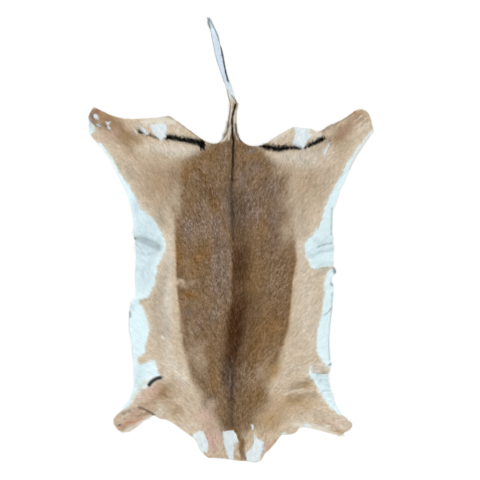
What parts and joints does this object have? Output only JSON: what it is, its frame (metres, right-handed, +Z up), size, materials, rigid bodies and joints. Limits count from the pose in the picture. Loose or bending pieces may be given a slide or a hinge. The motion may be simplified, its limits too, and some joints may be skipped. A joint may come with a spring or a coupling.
{
  "type": "impala hide",
  "caption": "Dressed impala hide lying flat on the floor, hair side up, legs spread and tail left on, used as a small rug or throw.",
  "frame": {"origin": "centre of the outline's bounding box, on the floor that the flesh side rests on", "axes": "+Y from the neck edge to the tail tip, +X to the right seen from above, +Z up out of the hair side"},
  "size_m": [0.8094, 1.2654, 0.0132],
  "materials": {
    "hide": "matt short hair on soft pale leather"
  },
  "bodies": {
    "root": {"hide": "hide"}
  },
  "joints": []
}
